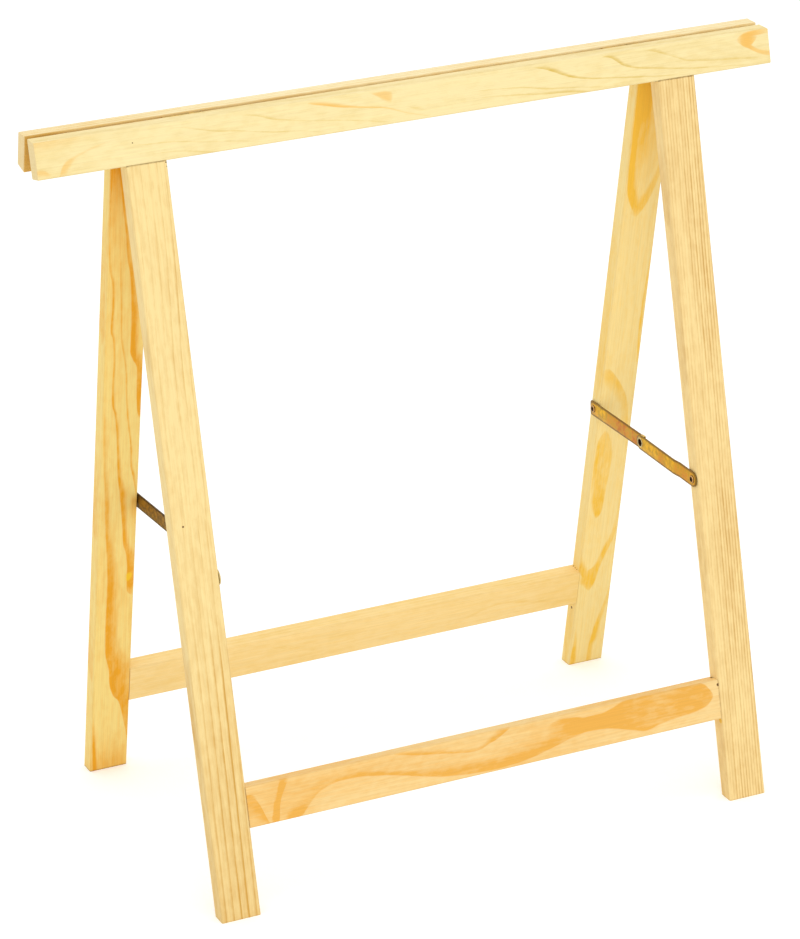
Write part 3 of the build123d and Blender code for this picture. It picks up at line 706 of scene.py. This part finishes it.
# Its warmth rises towards the top, where the amber on its inner face is painted shade under the
# rails.
LOOKS["back_right_leg"] = dict(
    PLAIN, face=-1, pale=(251, 224, 150), dark=(248, 196, 64), seed=6.4, late=(0.3, 0.8),
    wander=(0.5, 0.1), foot=0.3, across=((-355, 100), (355, 92)), depth=flat(8), rings=flat(0.3),
    warm=((-355, 0.05), (180, 0.05), (250, 0.25), (300, 0.48), (346, 0.75)),
    marks=((-285.3, -19.75, -0.4, 1.7), (-274.3, -20, -8.5, 0.7)),
)
LOOKS["back_right_leg"]["figures"] = (
    (1.8, 0.5, (-357, -0.5, 8, 55), (-335, 0.5, 9, 65), (-322, 2.5, 13.5, 90), (-310, 4.5, 14, 80),
     (-295, 9, 16.5, 60), (-280, 13, 20, 50), (-262, 17, 22, 25), (-248, 19, 22, 0)),
    (1.8, 0.5, (-357, -20, -10, 85), (-340, -19, -10.5, 85), (-325, -18, -12.5, 60),
     (-308, -17.5, -15, 0)),
    (1.8, 0.4, (-262, -6, -7, 0), (-254, -1, -15, 85), (-245, 1.5, -21, 92), (-237, 3, -18, 85),
     (-230, 5, -6, 75), (-218, 9, -0.5, 72), (-206, 13.5, 4, 70), (-196, 17, 9, 60),
     (-180, 19, 13, 40), (-150, 20, 16, 25), (-110, 21, 19, 0)),
    (1.8, 0.5, (-254, -8, -7, 0), (-248, -13, -5, 80), (-240, -18, -5, 85), (-232, -22, -9, 80),
     (-224, -25, -14, 70), (-214, -26, -17, 40), (-203, -26, -20, 0)),
    (1.8, 0.3, (-169, -7, -8, 0), (-161, -2, -13, 85), (-150, -0.8, -16.5, 85),
     (-135, 0.2, -18.5, 75), (-118, 1.2, -19, 60), (-100, 2.2, -19, 55), (-85, 1.8, -18.5, 55),
     (-72, -1, -17, 55), (-64, -4, -14, 50), (-57, -8, -10, 0)),
    (1.5, 0.5, (-142, -19, -16, 0), (-125, -19, -12, 45), (-90, -18.7, -11, 80), (-70, -17, -8, 65),
     (-58, -11, -9, 0)),
    (1.5, 0.4, (-150, 0, -2, 0), (-130, 0.6, -3, 45), (-110, 2, -2, 50), (-92, 2.6, -2, 50),
     (-78, 1, -4, 35), (-66, -3, -6, 0)),
    (2, 0.75, (-66, 17, 16, 0), (-50, 16.5, 5, 45), (-35, 14.5, 1, 50), (-20, 11, -4, 58),
     (-10, 6.5, -12, 62), (0, 1, -20, 66), (8, -4.5, -24, 70), (14, -9, -24, 55),
     (19, -14, -18, 0)),
    (1, 0.7, (8, 17.5, 19, 0), (40, 15.5, 20, 75), (65, 14.5, 19, 80), (100, 15, 19.5, 70),
     (140, 17, 20.5, 50), (170, 18.5, 20, 0)),
    (2, 0.5, (193, -4, -5, 0), (202, 3.5, -12, 65), (212, 9, -8, 70), (222, 13, 0, 60),
     (235, 17, 7, 45), (250, 20, 12, 30), (268, 22, 18, 0)),
    (1.6, 0.5, (195, -6, -5, 0), (205, -11, 2, 80), (214, -15, 0, 92), (225, -18, -5, 100),
     (240, -19, -8, 100), (270, -19.5, -10.5, 95), (300, -19.5, -9, 95), (346, -19.5, -7, 100)),
    (3, 0.3, (240, -5, -6, 0), (265, 0, -12, 25), (290, 0, -14, 40), (320, 0, -17, 60),
     (346, -1, -18, 90)),
)


def dress(node, material):
    """Give a CAD node its material."""
    slots = frame["nodes"][node].material_slots
    if not slots:
        raise RuntimeError(node + " has no material slot")
    for slot in slots:
        slot.material = material


def paint_boards(names):
    """Give each board its own pine."""
    for name in names:
        dress(name, pine_material(name, LOOKS[name]))


class SAWHORSE_OT_rails(bpy.types.Operator):
    """Finish the two top rails"""
    bl_idname = "sawhorse.rails"
    bl_label = "Top rails"

    def execute(self, context):
        paint_boards([half + "_top_rail" for half in HALVES])
        return {"FINISHED"}


class SAWHORSE_OT_legs(bpy.types.Operator):
    """Finish the four legs"""
    bl_idname = "sawhorse.legs"
    bl_label = "Legs"

    def execute(self, context):
        paint_boards([f"{half}_{side}_leg" for half in HALVES for side in SIDES])
        return {"FINISHED"}


class SAWHORSE_OT_stretchers(bpy.types.Operator):
    """Finish the two stretchers"""
    bl_idname = "sawhorse.stretchers"
    bl_label = "Stretchers"

    def execute(self, context):
        paint_boards([half + "_stretcher" for half in HALVES])
        return {"FINISHED"}


# ---- modelling helpers ----

def only(piece):
    """Select one object alone."""
    bpy.ops.object.select_all(action="DESELECT")
    piece.select_set(True)
    bpy.context.view_layer.objects.active = piece


def start_piece(kind, name, **settings):
    """Add a primitive with nothing else selected, and name it."""
    bpy.ops.object.select_all(action="DESELECT")
    getattr(bpy.ops.mesh, f"primitive_{kind}_add")(**settings)
    piece = bpy.context.object
    piece.name = piece.data.name = name
    return piece


def pick(piece, chosen, kind="VERT"):
    """In edit mode, select the corners or faces whose place and normal pass a test."""
    bpy.ops.mesh.select_mode(type=kind)
    bpy.ops.mesh.select_all(action="DESELECT")
    mesh = bmesh.from_edit_mesh(piece.data)
    for element in (mesh.verts if kind == "VERT" else mesh.faces):
        place = element.co if kind == "VERT" else element.calc_center_median()
        element.select = bool(chosen(place, element.normal))
    mesh.select_flush_mode()
    bmesh.update_edit_mesh(piece.data)


@contextmanager
def edit_mode():
    """Edit mode for as long as a block lasts."""
    bpy.ops.object.mode_set(mode="EDIT")
    yield
    bpy.ops.object.mode_set(mode="OBJECT")


def turned(name, profile, ring=False):
    """A round piece about Z from (radius, height) points: solid, or a closed ring."""
    radius, height = profile[0]
    piece = start_piece("circle", name, vertices=40, radius=radius, location=(0, 0, height),
                        fill_type="NOTHING" if ring else "NGON")
    bpy.ops.object.transform_apply(location=True)
    extrude = bpy.ops.mesh.extrude_edges_move if ring else bpy.ops.mesh.extrude_region_move
    with edit_mode():
        for next_radius, next_height in profile[1:] + (profile[:1] if ring else []):
            extrude(TRANSFORM_OT_translate={"value": (0, 0, next_height - height)})
            grow = next_radius / radius
            bpy.ops.transform.resize(value=(grow, grow, 1), center_override=(0, 0, next_height))
            radius, height = next_radius, next_height
    return piece


def finish_modifier(piece, kind, **settings):
    """Add a modifier and apply it."""
    only(piece)
    modifier = piece.modifiers.new(kind.title(), kind)
    for name, value in settings.items():
        setattr(modifier, name, value)
    bpy.ops.object.modifier_apply(modifier=modifier.name)


def round_edges(piece, width):
    """Round the sharp edges."""
    finish_modifier(piece, "BEVEL", width=width, segments=2, limit_method="ANGLE",
                    angle_limit=radians(40))


def join_shape(piece, operation, other):
    """Take another shape out of a piece, or join it on, and drop it."""
    finish_modifier(piece, "BOOLEAN", operation=operation, solver="EXACT", object=other)
    bpy.data.objects.remove(other)


def settle(piece, matrix, body, node, material):
    """Put a modelled piece in its place, welded and smooth, on its body and for its CAD node."""
    only(piece)
    piece.matrix_world = matrix
    bpy.ops.object.transform_apply(location=True, rotation=True, scale=True)
    with edit_mode():
        bpy.ops.mesh.select_all(action="SELECT")
        bpy.ops.mesh.remove_doubles(threshold=0.000001)
        bpy.ops.mesh.normals_make_consistent(inside=False)
    bpy.ops.object.shade_smooth_by_angle(angle=radians(30))
    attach(piece, body)
    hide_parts(node)
    piece.data.materials.clear()
    piece.data.materials.append(material)


# ---- steel ----

@shader_group("Steel film", {"Place": "Vector", "Blotch size": "Float"}, {
    "Cloud": "Float", "Speck": "Float"})
def steel_film(build, given):
    """Blotches of a passivated plate, and its dark specks."""
    blotch = given["Place"] * (1.0 / given["Blotch size"])
    cloud = build.noise(blotch + (4.2, 7.7, 1.3), 3.0, 0.6, 1.7)
    return cloud, build.noise(blotch, 3.0, 0.7, 7.0).rise(0.62, 0.75)


def steel_material(name, base, masks=None, roughness=0.36, blotch=0.009, metallic=0.75):
    """Plated steel: a base colour clouded by its film.

    The masks, where given, are of its rosy bloom, pale plate, brown film (tarnish with painted
    shade) and near-black painted shade."""
    steel = bpy.context.scene.sawhorse_steel
    material, build, shader = new_material(name)
    shader["Metallic"].default_value = metallic
    place = build.node("TexCoord")
    film = build.group(steel_film(), {"Place": place["Object"], "Blotch size": blotch})
    cloud = film["Cloud"]
    found = masks(build, place, cloud) if masks else {}
    tone = build.shade(base[:], cloud.rise(0.34, 0.66, 0.7, 1.16))
    if "rosy" in found:
        patches = cloud.rise(0.36, 0.62, 0.25, 1.25)
        rosy = build.math("MULTIPLY", found["rosy"], patches, clamp=True)
        tone = build.mix(rosy, tone, steel.bloom[:])
    tone = build.mix(film["Speck"] * 0.35, tone, steel.tarnish_and_shade[:])
    for mask, over in (("pale", steel.rivet), ("brown", steel.tarnish_and_shade), ("dirt", steel.dirt)):
        if mask in found:
            tone = build.mix(found[mask], tone, over[:])
    if "dirt" in found:
        build.put(shader["Metallic"], found["dirt"].ramp(metallic, -metallic))
        build.put(shader["Specular IOR Level"], found["dirt"].ramp(0.5, -0.45))
    build.put(shader["Base Color"], tone)
    build.put(shader["Roughness"], cloud.ramp(roughness - 0.1, 0.25))
    build.put(shader["Normal"], build.bump(cloud, 0.2))
    return material


def link_matrix(side, half):
    """A link's frame and length: X from its screw to the eyelet, Y up, Z from the leg inwards."""
    low, high = (Vector(corner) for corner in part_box(f"{side}_brace_eyelet_{half}"))
    origin = Vector(JOINTS[f"{side}_{half}_link_swing"]["pos_m"])
    along = (low + high) / 2 - origin
    along.x = 0
    length = along.length
    along.normalize()
    inwards = Vector((-1 if side == "right" else 1, 0, 0))
    up = Vector((0, 0, 1))
    across = (up - along * up.dot(along)).normalized()
    turn = Matrix((along, across, inwards)).transposed().to_4x4()
    return Matrix.Translation(origin) @ turn, length


def matrix_turn(matrix):
    """A turn for a Mapping node. A mirrored frame is turned by its two in-plane axes."""
    along, across, _ = matrix.to_3x3().transposed()
    return Matrix((along, across, along.cross(across))).transposed().to_euler()


def reach(node):
    """How far a node's near and far sides stand off the leg's inner side."""
    low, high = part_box(node)
    near, far = sorted((abs(low[0]), abs(high[0])), reverse=True)
    return LEG_INNER - near, LEG_INNER - far


# How rosy each link is, at shares of its length from the screw to the eyelet.
LINK_BLOOM = {
    "back": ((0, 0.3), (0.08, 0.15), (0.14, 0), (0.22, 0.05), (0.3, 0.5), (0.43, 0.6), (0.5, 0.75),
             (0.58, 0.95), (0.66, 0.75), (0.76, 0.55), (0.86, 0.9), (0.93, 0.5), (1, 0.2)),
    "front": ((0, 0.4), (0.1, 0.5), (0.18, 0.65), (0.25, 0.5), (0.3, 0.5), (0.35, 0.15),
              (0.45, 0.12), (0.52, 0.4), (0.58, 0.6), (0.64, 0.35), (0.7, 0.12), (0.83, 0.12),
              (0.89, 0.05), (1, 0.1)),
}
LINK_CORNERS = 48               # corners of a link's round ends and of its holes
RIM_SPAN = (0.0018, 0.0001)     # from a link's rim, where its brown starts and is full: tarnish with painted shade of the rolled edge
RIM_WANDER = 0.0016             # how far the brown's border wanders
SEAT_SPAN = (0.0036, 0.0048)    # from a screw, how far the painted shade under its head is full and how far it shows
EDGE_SHADE_SPAN = (0.0026, 0.0008)   # from a left link's rim, where the painted shade of its upper edge starts and is full
PALE_END_SPAN = (0.006, 0.014)     # from a left front link's screw, where its pale end, free of brown and painted shade, stops


def link_film_and_shade(matrix, length, half_width, half, lug_start):
    """Masks for a link: its bloom, its pale lug, the brown film and the near-black painted shade.

    The brown lies round its rim, where it is tarnish with painted shade of the rolled edge, and it
    is painted shade under its screw head and on its leg side."""
    def masks(build, place, cloud):
        local = build.node("Mapping", place["Object"], matrix.translation, matrix_turn(matrix),
                           vector_type="TEXTURE")
        axes = build.split(local)
        x, y = axes["X"], axes["Y"]
        past_eye = (abs(x - length / 2) - length / 2) | 0.0
        wobble = build.noise(local * 160.0)
        out = wobble.ramp(build.radius(past_eye, y), RIM_WANDER)
        rim = out.rise(*(half_width - inset for inset in RIM_SPAN))
        rim *= y.fall(half_width, half_width + 0.0002)
        # Painted shade in the gap under the screw head's rim.
        seat = build.radius(x, y).fall(*SEAT_SPAN, 0.8)
        right = matrix.translation.x > 0
        hidden = (build.split(place["Normal"])["X"] * (1.0 if right else -1.0)).rise(0.3, 0.8)
        # Brown: tarnish with painted shade of the rolled edge round the rim, and painted shade
        # under the screw head and on the leg side.
        brown = rim * 0.8 | seat | hidden * cloud.rise(0.38, 0.6, 0.55, 1.0)
        # Near-black painted shade on the leg side, strongest at its rim.
        dirt = hidden * rim.ramp(0.12, 0.7)
        found = {"rosy": hand_curve(build, x / length, LINK_BLOOM[half], "Bloom along")}
        if half == "back":
            found["pale"] = x.rise(lug_start - 0.0004, lug_start + 0.0003, 0.0, 0.75)
        if not right:      # seen from its leg side, with painted shade along its upper edge
            dirt |= y.rise(*(half_width - inset for inset in EDGE_SHADE_SPAN), 0.0, 0.7)
            if half == "front":
                shade_kept = x.rise(*PALE_END_SPAN, 0.15, 1.0)
                brown, dirt = brown * shade_kept, dirt * shade_kept
                found["pale"] = 1.1 - shade_kept
        return {**found, "brown": brown, "dirt": dirt}
    return masks


def brace_link(side, half):
    """One flat link, cranked or with its stop lug, with its two eyes."""
    name = f"{side}_brace_{half}_link"
    matrix, length = link_matrix(side, half)
    steel = bpy.context.scene.sawhorse_steel
    half_width, thickness = steel.link_width / 2, steel.link_thickness
    level = reach(f"{side}_brace_back_link")[0]
    raised = reach(f"{side}_brace_front_link")[1] - thickness
    piece = start_piece(
        "cylinder", name + "_steel", vertices=LINK_CORNERS, radius=half_width, depth=thickness,
        location=(0, 0, level + thickness / 2), rotation=(0, 0, pi / LINK_CORNERS))
    bpy.ops.object.transform_apply(location=True, rotation=True)
    with edit_mode():
        pick(piece, lambda place, _: place.x > 0)
        bpy.ops.transform.translate(value=(length, 0, 0))
        if half == "back":
            square_end(piece, half_width)
        else:
            crank = length - steel.crank_start
            for place in (crank - steel.crank_run, crank):
                bpy.ops.mesh.select_all(action="SELECT")
                bpy.ops.mesh.bisect(plane_co=(place, 0, 0), plane_no=(1, 0, 0))
            pick(piece, lambda place, _: place.x > crank - 0.0001)
            bpy.ops.transform.translate(value=(0, 0, raised - level))
    round_edges(piece, width=0.00022)
    lug_start = length + steel.lug_start
    if half == "back":
        add_lug(piece, lug_start, lug_start + steel.lug_length, half_width, level, raised)
    for place, radius in ((0, steel.screw_hole), (length, steel.eyelet_hole)):
        join_shape(piece, "DIFFERENCE", start_piece(
            "cylinder", "drill", vertices=LINK_CORNERS, radius=radius, depth=0.02,
            location=(place, 0, 0)))
    mask = link_film_and_shade(matrix, length, half_width, half, lug_start)
    settle(piece, matrix, f"{side}_{half}_link", name,
           steel_material(name + "_plate", steel.plate, mask))


def square_end(piece, radius):
    """Push a round end out into a nearly square one, and a little shorter."""
    power, shorten, near = 6, 0.82, 1e-5
    for step in range(LINK_CORNERS):
        turn = 2 * pi * (step + 0.5) / LINK_CORNERS
        x, y = radius * cos(turn), radius * sin(turn)
        if x > -1e-6:
            continue
        grow = (abs(cos(turn)) ** power + abs(sin(turn)) ** power) ** (-1 / power)
        pick(piece, lambda place, _: abs(place.x - x) < near and abs(place.y - y) < near)
        bpy.ops.transform.translate(value=(x * (grow * shorten - 1), y * (grow - 1), 0))


def add_lug(piece, start, end, half_width, level, raised):
    """Grow the stop lug from the link's upper edge and fold it over the other link."""
    thickness = bpy.context.scene.sawhorse_steel.link_thickness
    gap, roof = 0.0002, 0.0005
    lug = start_piece("cube", "lug", size=1)
    lug.scale = (end - start, half_width, thickness * 0.98)
    lug.location = ((start + end) / 2, half_width / 2 + gap, level + thickness / 2)
    bpy.ops.object.transform_apply(location=True, scale=True)
    with edit_mode():
        for chosen, step in (
            (lambda place, normal: normal.y > 0.9, (0, roof, 0)),
            (lambda place, normal: normal.z > 0.9 and place.y > half_width + gap,
             (0, 0, raised - level)),
        ):
            pick(lug, chosen, "FACE")
            bpy.ops.mesh.extrude_region_move(TRANSFORM_OT_translate={"value": step})
    round_edges(lug, width=0.0003)
    join_shape(piece, "UNION", lug)


class SAWHORSE_OT_braces(bpy.types.Operator):
    """Model the four links of the folding braces"""
    bl_idname = "sawhorse.braces"
    bl_label = "Brace links"

    def execute(self, context):
        for side, half in BRACE_ARMS:
            brace_link(side, half)
        return {"FINISHED"}


def bore_shade(y, z, radius):
    """Masks of the painted shade in a bore or recess that lies at y, z, and of a brown ring of
    painted shade round it.
    """
    def masks(build, place, cloud):
        axes = build.split(place["Object"])
        away = build.radius(axes["Y"] - y, axes["Z"] - z)
        return {"brown": away.fall(radius + 0.0004, radius + 0.0009, 0.5),
                "dirt": away.fall(radius, radius + 0.0005)}
    return masks


def eyelet_half(side, half):
    """One half of a tubular rivet, its lip rolled over the link."""
    steel = bpy.context.scene.sawhorse_steel
    node = f"{side}_brace_eyelet_{half}"
    matrix, length = link_matrix(side, half)
    low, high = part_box(node)
    lip, bore, tube = (high[1] - low[1]) / 2, steel.eyelet_bore, steel.eyelet_hole - 0.00005
    near, far = reach(node)
    rim = 0.0006           # height of the lip
    if half == "back":
        near, far, rim = far, near, -rim
    base = far - rim
    profile = [
        (bore, near), (tube, near), (tube, base), (lip - 0.0004, base), (lip, base + rim * 0.35),
        (lip - 0.0001, base + rim * 0.7), (lip - 0.0006, far), (bore + 0.0007, far),
        (bore + 0.0002, far - rim * 0.25), (bore, far - rim * 0.8)]
    # Painted shade in the bore, with a brown ring round it.
    dirt = bore_shade((low[1] + high[1]) / 2, (low[2] + high[2]) / 2, bore)
    settle(turned(node + "_rivet", profile, ring=True), matrix @ Matrix.Translation((length, 0, 0)),
           f"{side}_{half}_link", node,
           steel_material(node + "_plate", steel.rivet, dirt, blotch=0.004, metallic=0.35))


class SAWHORSE_OT_eyelets(bpy.types.Operator):
    """Model the two halves of each rolled eyelet"""
    bl_idname = "sawhorse.eyelets"
    bl_label = "Eyelets"

    def execute(self, context):
        for side, half in BRACE_ARMS:
            eyelet_half(side, half)
        return {"FINISHED"}


def brace_screw(side, half):
    """A round-headed wood screw with a cross recess."""
    steel = bpy.context.scene.sawhorse_steel
    node = f"{side}_brace_{half}_screw"
    matrix, _ = link_matrix(side, half)
    tip = min(reach(node))
    seat = reach(f"{side}_brace_back_link")[0] + steel.link_thickness + 0.0002
    head, crown, edge = steel.screw_head, steel.screw_crown, 0.0003
    crest, root, shank, pitch = 0.00195, 0.0014, 0.0019, 0.0011
    point, threads, neck = tip + 0.0016, tip + 0.0026, tip + 0.0132
    profile = [(0.0003, tip), (0.0012, point)]
    for thread in range(9):
        level = threads + thread * pitch
        profile += [(crest, level), (root, level + 0.00045)]
    profile += [(shank, neck), (shank, seat - 0.0001), (head - edge, seat), (head, seat + edge)]
    for step in range(1, 7):
        rise = radians(15 * step - 4)
        profile.append((head * cos(rise) + 0.00002, seat + edge + (crown - edge) * sin(rise)))
    piece = turned(node + "_steel", profile)
    for turn in (45, 135):
        join_shape(piece, "DIFFERENCE", start_piece(
            "cube", "driver", size=1, rotation=(0, 0, radians(turn)),
            location=(0, 0, seat + crown - 0.0002), scale=(head * 1.15, head * 0.24, 0.0018)))
    # Painted shade in the cross recess at the head's middle, with a brown ring round it.
    dirt = bore_shade(matrix.translation.y, matrix.translation.z, 0.0023)
    settle(piece, matrix, f"{half}_frame", node,
           steel_material(node + "_plate", steel.screw, dirt, blotch=0.003, metallic=0.5))


class SAWHORSE_OT_screws(bpy.types.Operator):
    """Model the round-headed screws that the links swing on"""
    bl_idname = "sawhorse.screws"
    bl_label = "Brace screws"

    def execute(self, context):
        for side, half in BRACE_ARMS:
            brace_screw(side, half)
        return {"FINISHED"}


def beech_material():
    """Turned beech, flecked along the dowel."""
    material, build, shader = new_material("beech")
    place = build.node("TexCoord")["Object"]
    fleck = build.noise(place * (900.0, 900.0, 120.0), 3.0, 0.6)
    dowel = bpy.context.scene.sawhorse_timber.dowel
    build.put(shader["Base Color"], build.shade(dowel[:], fleck.rise(*NOISE_SPAN, 0.86, 1.06)))
    build.put(shader["Roughness"], fleck.ramp(0.45, 0.2))
    return material


class SAWHORSE_OT_fittings(bpy.types.Operator):
    """Finish the hinges, the washers and the dowels"""
    bl_idname = "sawhorse.fittings"
    bl_label = "Hinges, washers and dowels"

    def execute(self, context):
        steel = context.scene.sawhorse_steel
        hinge = steel_material("hinge_plate", steel.hinge, blotch=0.02, roughness=0.42)
        washer = steel_material("washer_plate", steel.rivet, blotch=0.004)
        finishes = {"leaf": hinge, "pin": hinge, "screws": washer, "washer": washer,
                    "dowels": beech_material()}
        for name in frame["nodes"]:
            ending = name.split("_")[-1]
            if ending in finishes:
                dress(name, finishes[ending])
        return {"FINISHED"}


# ---- stage ----

LAMPS = (        # name, place, size and power
    ("key_lamp", (-1.6, -3.8, 1.9), 2.2, 4.0),
    ("low_lamp", (-0.5, -3.9, 0.75), 1.4, 16.0),
    ("top_lamp", (0.0, 0.0, 3.2), 1.6, 6.5),
)
LIT_POINT = Vector((0, 0, 0.35))
WORLD_LEVEL = 0.932      # strength of the world's light on the sawhorse
FLOOR_GLOW = 0.25        # what brings the floor up to white


def camera_matrix(stage):
    """Camera's place and turn from its angles round the target."""
    azimuth, elevation = stage.azimuth, stage.elevation
    ahead = Vector((sin(azimuth) * cos(elevation), cos(azimuth) * cos(elevation), -sin(elevation)))
    level = Vector((cos(azimuth), -sin(azimuth), 0))
    rise = level.cross(ahead)
    right = level * cos(stage.roll) + rise * sin(stage.roll)
    up = rise * cos(stage.roll) - level * sin(stage.roll)
    turn = Matrix((right, up, -ahead)).transposed().to_4x4()
    return Matrix.Translation(Vector(stage.target) - ahead * stage.distance) @ turn


def lay_floor(stage):
    """A pale floor that the camera sees a little brighter, so that it turns white."""
    floor = start_piece("plane", "floor", size=30)
    material, build, shader = new_material("floor")
    shader["Base Color"].default_value = (*stage.floor, 1)
    shader["Roughness"].default_value = 1.0
    shader["Specular IOR Level"].default_value = 0.0
    shader["Emission Color"].default_value = (1, 1, 1, 1)
    seen = build.node("LightPath")["Is Camera Ray"]
    build.put(shader["Emission Strength"], seen * FLOOR_GLOW)
    floor.data.materials.append(material)


def light_world():
    """An even white world, pure white where the camera, gloss or glass shows it."""
    world = bpy.data.worlds.new("studio")
    bpy.context.scene.world = world
    world.use_nodes = True
    build = Tree(world.node_tree)
    back = world.node_tree.nodes["Background"].inputs
    back["Color"].default_value = (1, 1, 1, 1)
    path = build.node("LightPath")
    direct = path["Is Camera Ray"] | path["Is Glossy Ray"] | path["Is Transmission Ray"]
    build.put(back["Strength"], direct.ramp(WORLD_LEVEL, 1 - WORLD_LEVEL))


class SAWHORSE_OT_stage(bpy.types.Operator):
    """Set up the floor, the lamps and the camera"""
    bl_idname = "sawhorse.stage"
    bl_label = "Stage"

    def execute(self, context):
        stage = context.scene.sawhorse_stage
        lay_floor(stage)
        light_world()
        for name, place, size, power in LAMPS:
            bpy.ops.object.light_add(type="AREA", radius=size, location=place)
            lamp = context.object
            lamp.name = name
            lamp.data.size = size
            lamp.data.energy = power
            lamp.rotation_euler = (LIT_POINT - Vector(place)).to_track_quat("-Z", "Y").to_euler()
        bpy.ops.object.camera_add()
        camera = context.object
        camera.name = "camera"
        camera.data.lens = stage.focal_length
        camera.data.sensor_width = 36
        camera.data.clip_end = 100
        camera.matrix_world = camera_matrix(stage)
        context.scene.camera = camera
        context.scene.view_settings.view_transform = "Standard"
        return {"FINISHED"}


# ---- add-on ----

SETTINGS = {
    "sawhorse_timber": SawhorseTimber,
    "sawhorse_steel": SawhorseSteel,
    "sawhorse_stage": SawhorseStage,
}
OPERATORS = (
    SAWHORSE_OT_rails, SAWHORSE_OT_legs, SAWHORSE_OT_stretchers, SAWHORSE_OT_braces,
    SAWHORSE_OT_eyelets, SAWHORSE_OT_screws, SAWHORSE_OT_fittings, SAWHORSE_OT_stage)


class SAWHORSE_PT_panel(bpy.types.Panel):
    """Buttons for each part of the sawhorse"""
    bl_label = "Sawhorse"
    bl_idname = "SAWHORSE_PT_panel"
    bl_space_type = "VIEW_3D"
    bl_region_type = "UI"
    bl_category = "Sawhorse"

    def draw(self, context):
        for operator in OPERATORS:
            self.layout.operator(operator.bl_idname)


CLASSES = (*SETTINGS.values(), *OPERATORS, SAWHORSE_PT_panel)


def register():
    for cls in CLASSES:
        bpy.utils.register_class(cls)
    for name, group in SETTINGS.items():
        setattr(bpy.types.Scene, name, PointerProperty(type=group))


def unregister():
    for name in SETTINGS:
        delattr(bpy.types.Scene, name)
    for cls in reversed(CLASSES):
        bpy.utils.unregister_class(cls)


def main():
    """Build everything in order."""
    register()
    for operator in OPERATORS:
        group, name = operator.bl_idname.split(".")
        getattr(getattr(bpy.ops, group), name)()


if __name__ == "__main__":
    main()
